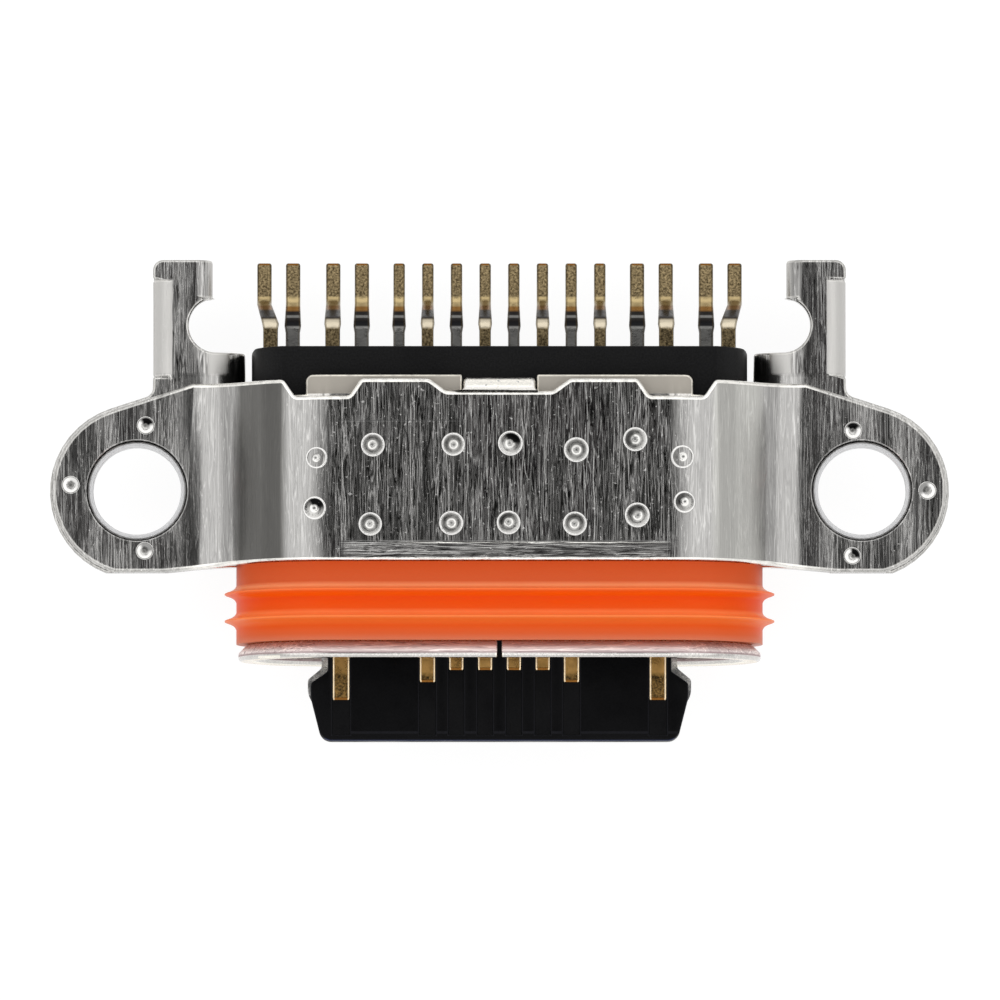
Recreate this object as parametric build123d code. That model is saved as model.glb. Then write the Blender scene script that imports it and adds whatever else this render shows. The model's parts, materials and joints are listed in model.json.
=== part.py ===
from build123d import *
import os
from math import cos, radians, sin, tan

# Frame: X across the connector, +Y from the plug side to the solder tails, +Z up.
# The origin is midway between the two screw holes, on the plane where the two
# bracket sheets meet, which is also the level of the plug's own axis.

# Plug opening and metal shell
cavity_width = 8.34
cavity_height = 2.56
shell_wall = 0.15
shell_front = -2.97
shell_length = 4.57
lip_height = 0.22
lip_length = 0.30
lip_crown = 0.14
lip_lead = 0.10
lip_rounding = 0.06
seam_gap = 0.08
seam_length = 0.36
flap_width = 6.70
flap_reach = 0.34
flap_split = 1.30
flap_rounding = 0.12

# Silicone sealing ring
seal_wall = 0.255
seal_rib_height = 0.21
seal_rib_base = 0.30
seal_rib_crest = 0.04
seal_rib_pitch = 0.47
seal_rib_middle = -2.035
seal_rib_count = 2

# Bracket sheets that clamp the shell from above and from below
sheet = 0.25
saddle_slope = 50
saddle_bend = 0.91
saddle_front = -1.31
saddle_rear = 1.86
shell_fit = 0.005

# Ears and screw holes
hole_spacing = 12.60
upper_hole_radius = 0.875
lower_hole_radius = 0.765
upper_ear_radius = 1.47
lower_ear_radius = 1.52
ear_flat = 1.42
ear_flare = 18
ear_root = 0.90
ear_front_run = 1.18

# Collar drawn up from each lower ear into the upper ear's hole
collar_height = 0.17
collar_bevel = 0.04

# Cut-outs and clamping tab along the upper sheet's rear edge
notch_centre = 3.07
notch_width = 1.34
notch_floor = 0.94
notch_depth = 0.30
notch_rounding = 0.10
tab_width = 1.24
tab_inner_radius = 0.05
tab_drop = 0.24
relief_width = 0.60
relief_depth = 0.22
relief_rounding = 0.14

# Rear arms of the lower sheet
arm_outer = 6.03
arm_inner = 4.43
arm_reach = 2.18
arm_corner = 0.18
arm_blend = 0.18
hook_depth = 0.67
hook_tip = 5.00
hook_drop = 0.35
fold_radius = 0.03
bite_radius = 0.47
bite_centre = 4.94
stake_front = 0.14
stake_length = 1.70
stake_inner_radius = 0.10
stake_leg_length = 0.95
stake_leg_reach = 0.80

# Moulded insulator: tongue, root, base inside the shell and block behind it
tongue_length = 4.485
tongue_thickness = 0.70
tongue_half_width = 3.28
tongue_tip_half_width = 3.09
tongue_taper = 0.75
tongue_rounding = 0.22
tongue_bevel = 0.14
tongue_bevel_drop = 0.12
latch_front = 1.00
latch_slant = 0.20
latch_length = 1.85
latch_depth = 0.30
latch_rounding = 0.08
root_half_width = 3.00
root_height = 0.52
root_length = 1.03
base_depth = 1.47
base_fit = 0.005
block_depth = 0.86
block_height = 2.20
block_inset = 0.01
block_corner = 0.10

# First-shot carriers that hold the two contact rows inside the tongue
carrier_half_width = 2.92
carrier_front = 0.73
carrier_depth = 0.85
carrier_height = 0.44
finger_margin = 0.10
window_recess = 0.01

# Stiffening plate between the two rows
plate_thickness = 0.15
plate_proud = 0.05
plate_lip = 0.11
plate_setback = 0.07
plate_anchor = 1.10
plate_lock_radius = 0.30
plate_lock_centre = 1.80

# Grounding pads on the tongue's root
pad_thickness = 0.12
pad_half_width = 2.85
pad_lip = 0.14
pad_anchor = 0.30

# Contacts: strip on the tongue, jog inside the base, gull-wing tail behind the block
lead_thickness = 0.12
signal_pitch = 0.50
power_contact = 1.25
ground_contact = 2.75
signal_contact_width = 0.26
power_contact_width = 0.28
ground_contact_width = 0.30
signal_contact_setback = 1.195
power_contact_setback = 0.985
ground_contact_setback = 0.675
contact_bevel = 0.04
jog_front = 0.30
jog_length = 1.05
narrow_tail_width = 0.20
wide_tail_width = 0.25
wide_tail_limit = 2.00
tail_flat = 0.44
tail_slope_run = 0.40
tail_reach = 1.57
tail_bend = 0.14
shoulder_run = 0.12
shoulder_width = 0.04
crank_width = 0.12
board_level = -0.80
tail_places = {
    "upper": (-4.10, -2.90, -1.25, -0.25, 0.75, 1.75, 2.90, 4.10),
    "lower": (-3.60, -2.40, -1.75, -0.75, 0.25, 1.25, 2.40, 3.60),
}

# Places worked out from the sizes above
shell_rear = shell_front + shell_length
shell_half_height = cavity_height / 2 + shell_wall
end_centre = (cavity_width - cavity_height) / 2
saddle_radius = shell_half_height + shell_fit
saddle_top = saddle_radius + sheet
hole_x = hole_spacing / 2
arm_rear = saddle_rear + arm_reach
base_front = shell_rear - base_depth
tongue_tip = base_front - tongue_length
block_rear = shell_rear + block_depth
tongue_top = tongue_thickness / 2
plate_top = plate_thickness / 2
contact_floor = tongue_top - lead_thickness
beyond = 4 * saddle_top


def along_x(face, left, right):
    """Solid with the given (y, z) section between two X places."""
    return Pos(left, 0, 0) * extrude(Plane.YZ * face, amount=right - left)


def along_y(face, front, rear):
    """Solid with the given (x, z) section between two Y places."""
    return Pos(0, rear, 0) * extrude(Plane.XZ * face, amount=rear - front)


def along_z(face, low, high):
    """Solid with the given (x, y) outline between two Z levels."""
    return Pos(0, 0, low) * extrude(face, amount=high - low)


def block(left, right, front, rear, low, high):
    """Rectangular solid between the given faces."""
    centre = Pos((left + right) / 2, (front + rear) / 2, (low + high) / 2)
    return centre * Box(right - left, rear - front, high - low)


def rounded(points, radii):
    """Closed outline through the points, each corner with its own radius."""
    return make_face(FilletPolyline(*points, radius=radii, close=True))


def both_sides(right_part):
    """A part and its mirror image across the middle plane."""
    return right_part + mirror(right_part, about=Plane.YZ)


def bent_strip(points, thickness, inner_radii):
    """Section of a bent sheet that lies to the left of the line through the points."""
    near = [Vector(*point) for point in points]
    runs = [(b - a).normalized() for a, b in zip(near, near[1:])]
    normals = [Vector(-run.Y, run.X) for run in runs]
    far = [near[0] + normals[0] * thickness]
    near_radii = []
    far_radii = []
    for index, inner in enumerate(inner_radii):
        before = normals[index]
        after = normals[index + 1]
        reach = thickness / (1 + before.dot(after))
        far.append(near[index + 1] + (before + after) * reach)
        left_turn = runs[index].cross(runs[index + 1]).Z > 0
        near_radii.append(inner + thickness if left_turn else inner)
        far_radii.append(inner if left_turn else inner + thickness)
    far.append(near[-1] + normals[-1] * thickness)
    near_line = FilletPolyline(*near, radius=near_radii)
    far_line = FilletPolyline(*far, radius=far_radii)
    ends = [Line(near[0], far[0]), Line(near[-1], far[-1])]
    return make_face(near_line.edges() + far_line.edges() + ends)


def racetrack(half_height):
    """Plug-shaped section: two half circles joined by flats."""
    return SlotCenterToCenter(2 * end_centre, 2 * half_height)


def racetrack_ring(profile):
    """Ring that carries a (y, distance from the axis) profile all round the racetrack."""
    flat = along_x(profile, -end_centre, end_centre)
    end = Pos(end_centre, 0, 0) * (Plane.YZ * profile)
    end_axis = Axis((end_centre, 0, 0), (0, 1, 0))
    return flat + mirror(flat, about=Plane.XY) + both_sides(revolve(end, end_axis, 180))


def make_shell():
    """Drawn tube with a turned-out front lip, a seam slit and two rear flaps."""
    inner = cavity_height / 2
    lip_back = shell_front + lip_length
    lip_edge = shell_half_height + lip_height
    lip_foot = shell_half_height + lip_height - (lip_length - lip_crown)
    profile = rounded(
        [
            (shell_rear, inner), (shell_front + lip_lead, inner),
            (shell_front, inner + lip_lead), (shell_front, lip_edge),
            (shell_front + lip_crown, lip_edge), (lip_back, lip_foot),
            (lip_back, shell_half_height), (shell_rear, shell_half_height),
        ],
        [0, 0, 0, lip_rounding, lip_rounding, 0, 0, 0],
    )
    tube = racetrack_ring(profile)
    slit = block(
        -seam_gap / 2, seam_gap / 2,
        shell_front, shell_front + seam_length,
        inner - shell_wall, lip_edge,
    )
    return tube - slit + make_flaps()


def make_flaps():
    """Rear flaps that carry the shell's wall on over the block, above and below."""
    wall = racetrack(shell_half_height) - racetrack(cavity_height / 2)
    run = along_y(wall, shell_rear, shell_rear + flap_reach)
    rear = shell_rear + flap_reach
    plan = rounded(
        [
            (flap_split / 2, shell_rear), (flap_width / 2, shell_rear),
            (flap_width / 2, rear), (flap_split / 2, rear),
        ],
        [0, 0, flap_rounding, 0],
    )
    return both_sides(run & along_z(plan, -shell_half_height, shell_half_height))


def make_seal():
    """Soft ring round the shell, between its lip and the brackets, with V ribs."""
    front = shell_front + lip_length
    rear = saddle_front
    body = shell_half_height + seal_wall
    crest = body + seal_rib_height
    points = [(front, shell_half_height), (rear, shell_half_height), (rear, body)]
    for index in reversed(range(seal_rib_count)):
        centre = seal_rib_middle + (index - (seal_rib_count - 1) / 2) * seal_rib_pitch
        points += [(centre + seal_rib_base / 2, body), (centre + seal_rib_crest / 2, crest)]
        points += [(centre - seal_rib_crest / 2, crest), (centre - seal_rib_base / 2, body)]
    points.append((front, body))
    return racetrack_ring(make_face(Polyline(*points, close=True)))


def saddle_section():
    """Section of one bent sheet: flat ears, sloping sides and a top over the shell."""
    slope = radians(saddle_slope)
    shoulder = end_centre + saddle_radius * tan(slope / 2)
    foot = end_centre + saddle_radius / sin(slope)
    edge = hole_x + 2 * lower_ear_radius
    path = [
        (-edge, 0), (-foot, 0), (-shoulder, saddle_radius),
        (shoulder, saddle_radius), (foot, 0), (edge, 0),
    ]
    radii = [saddle_bend, saddle_radius, saddle_radius, saddle_bend]
    return bent_strip(path, sheet, radii)


def flare_edge(ear_radius, x):
    """Y of the straight rear edge that runs down from the saddle to the round ear."""
    flare = radians(ear_flare)
    return ear_radius / cos(flare) - (x - hole_x) * tan(flare)


def ear_outline(ear_radius):
    """Plan of the right half of one sheet: saddle, flare and round ear."""
    flare = radians(ear_flare)
    touch_x = hole_x + ear_radius * sin(flare)
    touch_y = ear_radius * cos(flare)
    flare_start = hole_x - (saddle_rear - flare_edge(ear_radius, hole_x)) / tan(flare)
    front_corner = hole_x - ear_root / 2 - ear_front_run
    web = make_face(Polyline(
        (0, saddle_front), (front_corner, saddle_front),
        (hole_x - ear_root / 2, -ear_flat), (hole_x, -ear_flat), (hole_x, 0),
        (touch_x, touch_y), (flare_start, saddle_rear), (0, saddle_rear),
        close=True,
    ))
    ear = Pos(hole_x, 0) * Circle(ear_radius)
    trimmed = Pos(hole_x, beyond / 2 - ear_flat) * Rectangle(beyond, beyond)
    return web + (ear & trimmed)


def make_saddle(ear_radius):
    """One bent sheet over the top of the shell, with its ears."""
    bent = along_y(saddle_section(), saddle_front - sheet, saddle_rear + sheet)
    plan = along_z(ear_outline(ear_radius), -sheet, saddle_top + sheet)
    return bent & both_sides(plan)


def screw_holes(radius):
    """Bores of both screw holes, longer than a sheet is thick."""
    bore = Pos(hole_x, 0) * Circle(radius)
    return both_sides(along_z(bore, -2 * sheet, 2 * sheet))


def rear_cutouts():
    """Plan of the notches and reliefs in the upper sheet's rear edge, right half."""
    edge = saddle_rear + sheet
    half_top = notch_width / 2
    half_floor = notch_floor / 2
    outer = half_top + notch_rounding
    floor = saddle_rear - notch_depth
    profile = [
        (-outer, edge), (-outer, saddle_rear), (-half_top, saddle_rear), (-half_floor, floor),
        (half_floor, floor), (half_top, saddle_rear), (outer, saddle_rear), (outer, edge),
    ]
    soft = notch_rounding
    notch = Pos(notch_centre, 0) * rounded(profile, [0, 0, soft, soft, soft, soft, 0, 0])
    tab_side = tab_width / 2
    relief_end = tab_side + relief_width
    relief_floor = saddle_rear - relief_depth
    relief = rounded(
        [
            (relief_end + relief_rounding, edge), (relief_end + relief_rounding, saddle_rear),
            (relief_end, saddle_rear), (tab_side + relief_width / 2, relief_floor),
            (tab_side, relief_floor), (tab_side, edge),
        ],
        [0, 0, relief_rounding, relief_rounding, 0, 0],
    )
    return notch + relief


def make_upper_bracket():
    """Upper sheet, with its notched rear edge and the tab bent down behind the shell."""
    tab_side = tab_width / 2
    tab_front = saddle_rear - relief_depth
    saddle = make_saddle(upper_ear_radius) - screw_holes(upper_hole_radius)
    cutouts = along_z(rear_cutouts(), 0, saddle_top + sheet)
    saddle -= both_sides(cutouts)
    saddle -= block(-tab_side, tab_side, tab_front, saddle_rear, 0, saddle_top + sheet)
    path = [
        (tab_front - sheet, saddle_radius), (tab_front, saddle_radius),
        (tab_front, saddle_radius - tab_drop),
    ]
    tab = along_x(bent_strip(path, sheet, [tab_inner_radius]), -tab_side, tab_side)
    return saddle + tab


def arm_outline():
    """Plan of the right rear arm: a web with a round bite and an inward hook."""
    root = saddle_rear - 2 * sheet
    hook_inner = arm_rear - hook_depth
    bite_y = hook_inner - bite_radius
    blend_x = arm_outer + sheet
    arm = rounded(
        [
            (arm_inner, root), (blend_x, root), (blend_x, flare_edge(lower_ear_radius, blend_x)),
            (arm_outer, flare_edge(lower_ear_radius, arm_outer)), (arm_outer, arm_rear),
            (hook_tip, arm_rear), (hook_tip, hook_inner), (arm_inner, hook_inner),
        ],
        [0, 0, 0, arm_blend, arm_corner, 0, 0, 0],
    )
    bite = Pos(bite_centre, bite_y) * Circle(bite_radius)
    mouth_width = bite_centre - arm_inner + sheet
    mouth = Pos(bite_centre - mouth_width / 2, bite_y) * Rectangle(mouth_width, 2 * bite_radius)
    return arm - bite - mouth


def make_stake():
    """Right arm's outer flange, bent down, with the leg that goes through the board."""
    front = saddle_rear + stake_front
    rear = front + stake_length
    middle = (front + rear) / 2
    inner = arm_outer - sheet
    path = [(inner, board_level), (inner, -sheet), (inner - sheet, -sheet)]
    flange = along_y(bent_strip(path[::-1], sheet, [stake_inner_radius]), front, rear)
    leg = block(
        inner, arm_outer,
        middle - stake_leg_length / 2, middle + stake_leg_length / 2,
        board_level - stake_leg_reach, board_level,
    )
    return flange + chamfer(leg.faces().sort_by(Axis.Z)[0].edges().filter_by(Axis.X), sheet / 2)


def make_hook_tip():
    """Short tab at the hook's end, folded down against the board's edge."""
    inner = hook_tip + sheet
    path = [(inner + sheet, -sheet), (inner, -sheet), (inner, -sheet - hook_drop)]
    tip = mirror(bent_strip([(-x, z) for x, z in path], sheet, [fold_radius]), about=Plane.YZ)
    return along_y(tip, arm_rear - hook_depth, arm_rear)


def make_arm():
    """Right rear arm, cut from the same bent sheet as the lower saddle."""
    bent = along_y(saddle_section(), saddle_front, arm_rear + sheet)
    flat = mirror(bent, about=Plane.XY) & along_z(arm_outline(), -saddle_top, sheet)
    stake_gap = block(
        arm_outer - sheet - stake_inner_radius, arm_outer + sheet,
        saddle_rear + stake_front, saddle_rear + stake_front + stake_length,
        -2 * sheet, sheet,
    )
    tip_gap = block(
        hook_tip - sheet, hook_tip + sheet + fold_radius,
        arm_rear - hook_depth, arm_rear, -2 * sheet, sheet,
    )
    return flat - stake_gap - tip_gap + make_stake() + make_hook_tip()


def make_collar():
    """Right collar, still solid, that stands up into the upper sheet's larger hole."""
    outline = Pos(hole_x, 0) * Circle(upper_hole_radius - shell_fit)
    collar = along_z(outline, 0, collar_height)
    return chamfer(collar.faces().sort_by(Axis.Z)[-1].edges(), collar_bevel)


def make_lower_bracket():
    """Lower sheet: the same saddle turned over, with collars and the two rear arms."""
    saddle = mirror(make_saddle(lower_ear_radius), about=Plane.XY)
    bracket = saddle + both_sides(make_collar()) + both_sides(make_arm())
    return bracket - screw_holes(lower_hole_radius)


def tongue_plan(half_width, recess, tip_half_width, tip, rear):
    """Plan of the tongue, with tapered front corners and the two latch recesses."""
    latch_start = tip + latch_front
    latch_rear = tongue_tip + latch_front + latch_slant + latch_length
    right = [
        (tip_half_width, tip), (half_width, tip + tongue_taper),
        (half_width, latch_start), (recess, latch_start + latch_slant),
        (recess, latch_rear), (half_width, latch_rear), (half_width, rear),
    ]
    radii = [tongue_rounding, tongue_taper / 2, latch_rounding, latch_rounding, 0, 0, 0]
    left = [(-x, y) for x, y in reversed(right)]
    return rounded(right + left, radii + radii[::-1])


def make_plate():
    """Stiffening plate in the middle of the tongue, its edges proud in the latches."""
    plan = tongue_plan(
        tongue_half_width + plate_proud, tongue_half_width - latch_depth + plate_lip,
        tongue_tip_half_width - 2 * plate_setback,
        tongue_tip + plate_setback, base_front + plate_anchor,
    )
    locks = Pos(plate_lock_centre, base_front + plate_anchor / 2) * Circle(plate_lock_radius)
    return along_z(plan, -plate_top, plate_top) - both_sides(along_z(locks, -1, 1))


def make_pad(side):
    """Grounding pad on the tongue's root, its front lip bent to the tongue."""
    root_front = base_front - root_length
    path = [
        (root_front, root_height - pad_lip), (root_front, root_height),
        (base_front + pad_anchor, root_height),
    ]
    pad = along_x(bent_strip(path, pad_thickness, [0]), -pad_half_width, pad_half_width)
    return pad if side == "upper" else mirror(pad, about=Plane.XY)


def contact_rows():
    """Place, width and front setback of the eight contacts in a row, left to right."""
    right = [
        (signal_pitch / 2, signal_contact_width, signal_contact_setback),
        (signal_pitch * 3 / 2, signal_contact_width, signal_contact_setback),
        (power_contact, power_contact_width, power_contact_setback),
        (ground_contact, ground_contact_width, ground_contact_setback),
    ]
    return [(-x, width, setback) for x, width, setback in reversed(right)] + right


def ribbon(stations):
    """Plan of a lead through (y, centre x, width) stations."""
    right = [(x + width / 2, y) for y, x, width in stations]
    left = [(x - width / 2, y) for y, x, width in reversed(stations)]
    return make_face(Polyline(*right, *left, close=True))


def make_tail(x_exit, x_foot, width, low, start):
    """Gull-wing tail with its shoulder, from inside the base to the foot on the board."""
    bend_start = block_rear + tail_flat
    bend_end = bend_start + tail_slope_run
    foot_end = block_rear + tail_reach
    path = [(start, low), (bend_start, low), (bend_end, board_level), (foot_end, board_level)]
    wing = bent_strip(path, lead_thickness, [tail_bend, tail_bend])
    plan = ribbon([
        (start, x_exit, width), (bend_start - shoulder_run, x_exit, width),
        (bend_start, x_exit, width + shoulder_width),
        (bend_end, x_foot, width), (foot_end, x_foot, width),
    ])
    reach = abs(x_foot) + beyond
    return along_x(wing, -reach, reach) & along_z(plan, board_level - sheet, tongue_thickness)


def make_contact(x_contact, width, setback, x_foot, row):
    """One lead: strip on the tongue, jog inside the base and gull-wing tail."""
    low = contact_floor if row == "upper" else -tongue_top
    wide = abs(x_foot) > wide_tail_limit
    tail_width = wide_tail_width if wide else narrow_tail_width
    outermost = row == "upper" and abs(x_foot) == max(tail_places["upper"])
    x_exit = x_foot - crank_width * (1 if x_foot > 0 else -1) if outermost else x_foot
    jog_start = base_front + jog_front
    jog_end = jog_start + jog_length
    front = tongue_tip + setback
    strip = block(
        x_contact - width / 2, x_contact + width / 2, front, jog_start,
        low, low + lead_thickness,
    )
    outside = Axis.Z if row == "upper" else -Axis.Z
    tip_edge = strip.faces().sort_by(outside)[-1].edges().sort_by(Axis.Y)[0]
    jog = ribbon([(jog_start, x_contact, width), (jog_end, x_exit, tail_width)])
    return (
        chamfer(tip_edge, contact_bevel)
        + along_z(jog, low, low + lead_thickness)
        + make_tail(x_exit, x_foot, tail_width, low, jog_end)
    )


def window_plan(x_contact, width):
    """Plan of the carrier's finger under one contact, up to the tongue's tip."""
    front = tongue_tip + finger_margin
    rear = base_front - carrier_front
    return Pos(x_contact, (front + rear) / 2) * Rectangle(width, rear - front)


def make_carrier(contacts):
    """First-shot comb for the upper row: a bar with one finger under each contact."""
    bar_front = base_front - carrier_front
    carrier = block(
        -carrier_half_width, carrier_half_width,
        bar_front, bar_front + carrier_depth, plate_top, carrier_height,
    )
    for x_contact, width, setback in contact_rows():
        finger = window_plan(x_contact, width)
        carrier += along_z(finger, plate_top, tongue_top - window_recess)
    for contact in contacts:
        carrier -= contact
    return carrier


def make_insulator(inserts):
    """Second-shot moulding: tongue, root, base and rear block, round all inserts."""
    slope_end = tongue_tip + tongue_bevel
    nose = tongue_top - tongue_bevel_drop
    side = make_face(Polyline(
        (tongue_tip, -nose), (slope_end, -tongue_top), (shell_rear, -tongue_top),
        (shell_rear, tongue_top), (slope_end, tongue_top), (tongue_tip, nose),
        close=True,
    ))
    recess = tongue_half_width - latch_depth
    plan = tongue_plan(tongue_half_width, recess, tongue_tip_half_width, tongue_tip, shell_rear)
    tongue = along_x(side, -cavity_width / 2, cavity_width / 2)
    tongue &= along_z(plan, -tongue_top, tongue_top)
    root = block(
        -root_half_width, root_half_width,
        base_front - root_length, shell_rear, -root_height, root_height,
    )
    base = along_y(racetrack(cavity_height / 2 - base_fit), base_front, shell_rear)
    body = tongue + root + base + make_rear_block()
    for x_contact, width, setback in contact_rows():
        window = window_plan(x_contact, width)
        body -= along_z(window, plate_top, root_height)
        body -= along_z(window, -root_height, -plate_top)
    for insert in inserts:
        body -= insert
    return body


def make_rear_block():
    """Block behind the shell that the sixteen tails leave from."""
    width = cavity_width + 2 * (shell_wall - block_inset)
    outside = racetrack(shell_half_height - block_inset)
    solid = along_y(outside & Rectangle(width, block_height), shell_rear, block_rear)
    plan = rounded(
        [
            (-width / 2, shell_rear), (width / 2, shell_rear),
            (width / 2, block_rear), (-width / 2, block_rear),
        ],
        [0, 0, block_corner, block_corner],
    )
    return solid & along_z(plan, -block_height, block_height)


def make_contacts(row):
    """The eight leads of one row, by node name."""
    leads = {}
    for number, (place, x_foot) in enumerate(zip(contact_rows(), tail_places[row]), 1):
        leads[f"{row}_contact_{number}"] = make_contact(*place, x_foot, row)
    return leads


def make_windowed_fill(row, contacts):
    """Carrier of one row, mirrored for the lower one."""
    if row == "upper":
        return make_carrier(contacts)
    turned = [mirror(contact, about=Plane.XY) for contact in contacts]
    return mirror(make_carrier(turned), about=Plane.XY)


def build():
    """All the pieces of the connector, by node name."""
    upper = make_contacts("upper")
    lower = make_contacts("lower")
    pieces = {
        "shell": make_shell(),
        "seal_ring": make_seal(),
        "upper_bracket": make_upper_bracket(),
        "lower_bracket": make_lower_bracket(),
        "stiffening_plate": make_plate(),
        "upper_ground_pad": make_pad("upper"),
        "lower_ground_pad": make_pad("lower"),
        "upper_contact_carrier": make_windowed_fill("upper", upper.values()),
        "lower_contact_carrier": make_windowed_fill("lower", lower.values()),
    }
    inserts = [piece for name, piece in pieces.items() if name.endswith(("plate", "pad", "carrier"))]
    pieces["insulator"] = make_insulator(inserts + list(upper.values()) + list(lower.values()))
    return pieces | upper | lower


os.makedirs("parts", exist_ok=True)
for node, piece in build().items():
    export_step(piece, f"parts/{node}.step")
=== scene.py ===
"""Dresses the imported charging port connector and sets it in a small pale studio."""

import json
import logging
import math
import random
from collections.abc import Callable, Iterable, Iterator
from contextlib import contextmanager
from dataclasses import dataclass, field
from enum import Enum

import bpy
from mathutils import Matrix, Vector
from mathutils.bvhtree import BVHTree

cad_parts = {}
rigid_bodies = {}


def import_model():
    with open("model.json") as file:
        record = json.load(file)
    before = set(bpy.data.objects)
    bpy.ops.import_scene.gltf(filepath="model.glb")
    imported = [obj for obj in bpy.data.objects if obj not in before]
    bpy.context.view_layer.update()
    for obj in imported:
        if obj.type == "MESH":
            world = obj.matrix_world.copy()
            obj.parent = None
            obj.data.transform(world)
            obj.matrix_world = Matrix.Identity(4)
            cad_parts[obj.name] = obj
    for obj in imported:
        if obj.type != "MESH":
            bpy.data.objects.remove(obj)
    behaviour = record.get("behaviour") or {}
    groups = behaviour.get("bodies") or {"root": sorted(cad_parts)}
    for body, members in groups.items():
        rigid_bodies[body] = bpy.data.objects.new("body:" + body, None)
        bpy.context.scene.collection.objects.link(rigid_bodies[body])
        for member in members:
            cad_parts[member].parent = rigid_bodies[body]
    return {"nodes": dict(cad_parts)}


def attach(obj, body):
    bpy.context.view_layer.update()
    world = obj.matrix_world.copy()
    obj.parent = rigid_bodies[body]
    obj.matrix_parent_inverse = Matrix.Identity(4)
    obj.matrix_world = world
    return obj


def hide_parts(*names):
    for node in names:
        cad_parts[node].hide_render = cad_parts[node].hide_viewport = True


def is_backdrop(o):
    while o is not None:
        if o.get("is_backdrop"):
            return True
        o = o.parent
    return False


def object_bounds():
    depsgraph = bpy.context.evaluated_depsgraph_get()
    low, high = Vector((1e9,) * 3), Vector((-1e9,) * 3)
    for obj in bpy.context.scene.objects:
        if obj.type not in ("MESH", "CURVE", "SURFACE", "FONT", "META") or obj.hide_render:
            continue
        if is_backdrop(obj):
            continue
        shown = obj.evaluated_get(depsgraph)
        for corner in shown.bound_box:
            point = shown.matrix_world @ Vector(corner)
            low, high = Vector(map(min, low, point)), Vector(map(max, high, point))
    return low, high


for leftover in list(bpy.data.objects):
    bpy.data.objects.remove(leftover)
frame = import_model()

log = logging.getLogger("charging_port")
logging.basicConfig(level=logging.INFO, format="%(name)s: %(message)s")

MM = 0.001
BODY = "root"
HOLE_MM = 6.30
END_CENTRE_MM = 2.89
Colour = tuple[float, float, float]
Range = tuple[float, float]
Socket = bpy.types.NodeSocket
Given = Socket | float


class Brush(Enum):
    """Direction in which a metal's brushing runs, as the squeeze of its pattern."""

    ALONG_Y = (1.0, 0.055, 1.0)
    ALONG_X = (0.06, 1.0, 1.0)


class Face(Enum):
    """Side of the connector that a set of welds is on."""

    TOP = 1
    UNDERSIDE = -1


def point(x: float, y: float, z: float) -> Vector:
    """A place given in millimetres, in metres."""
    return Vector((x, y, z)) * MM


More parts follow.
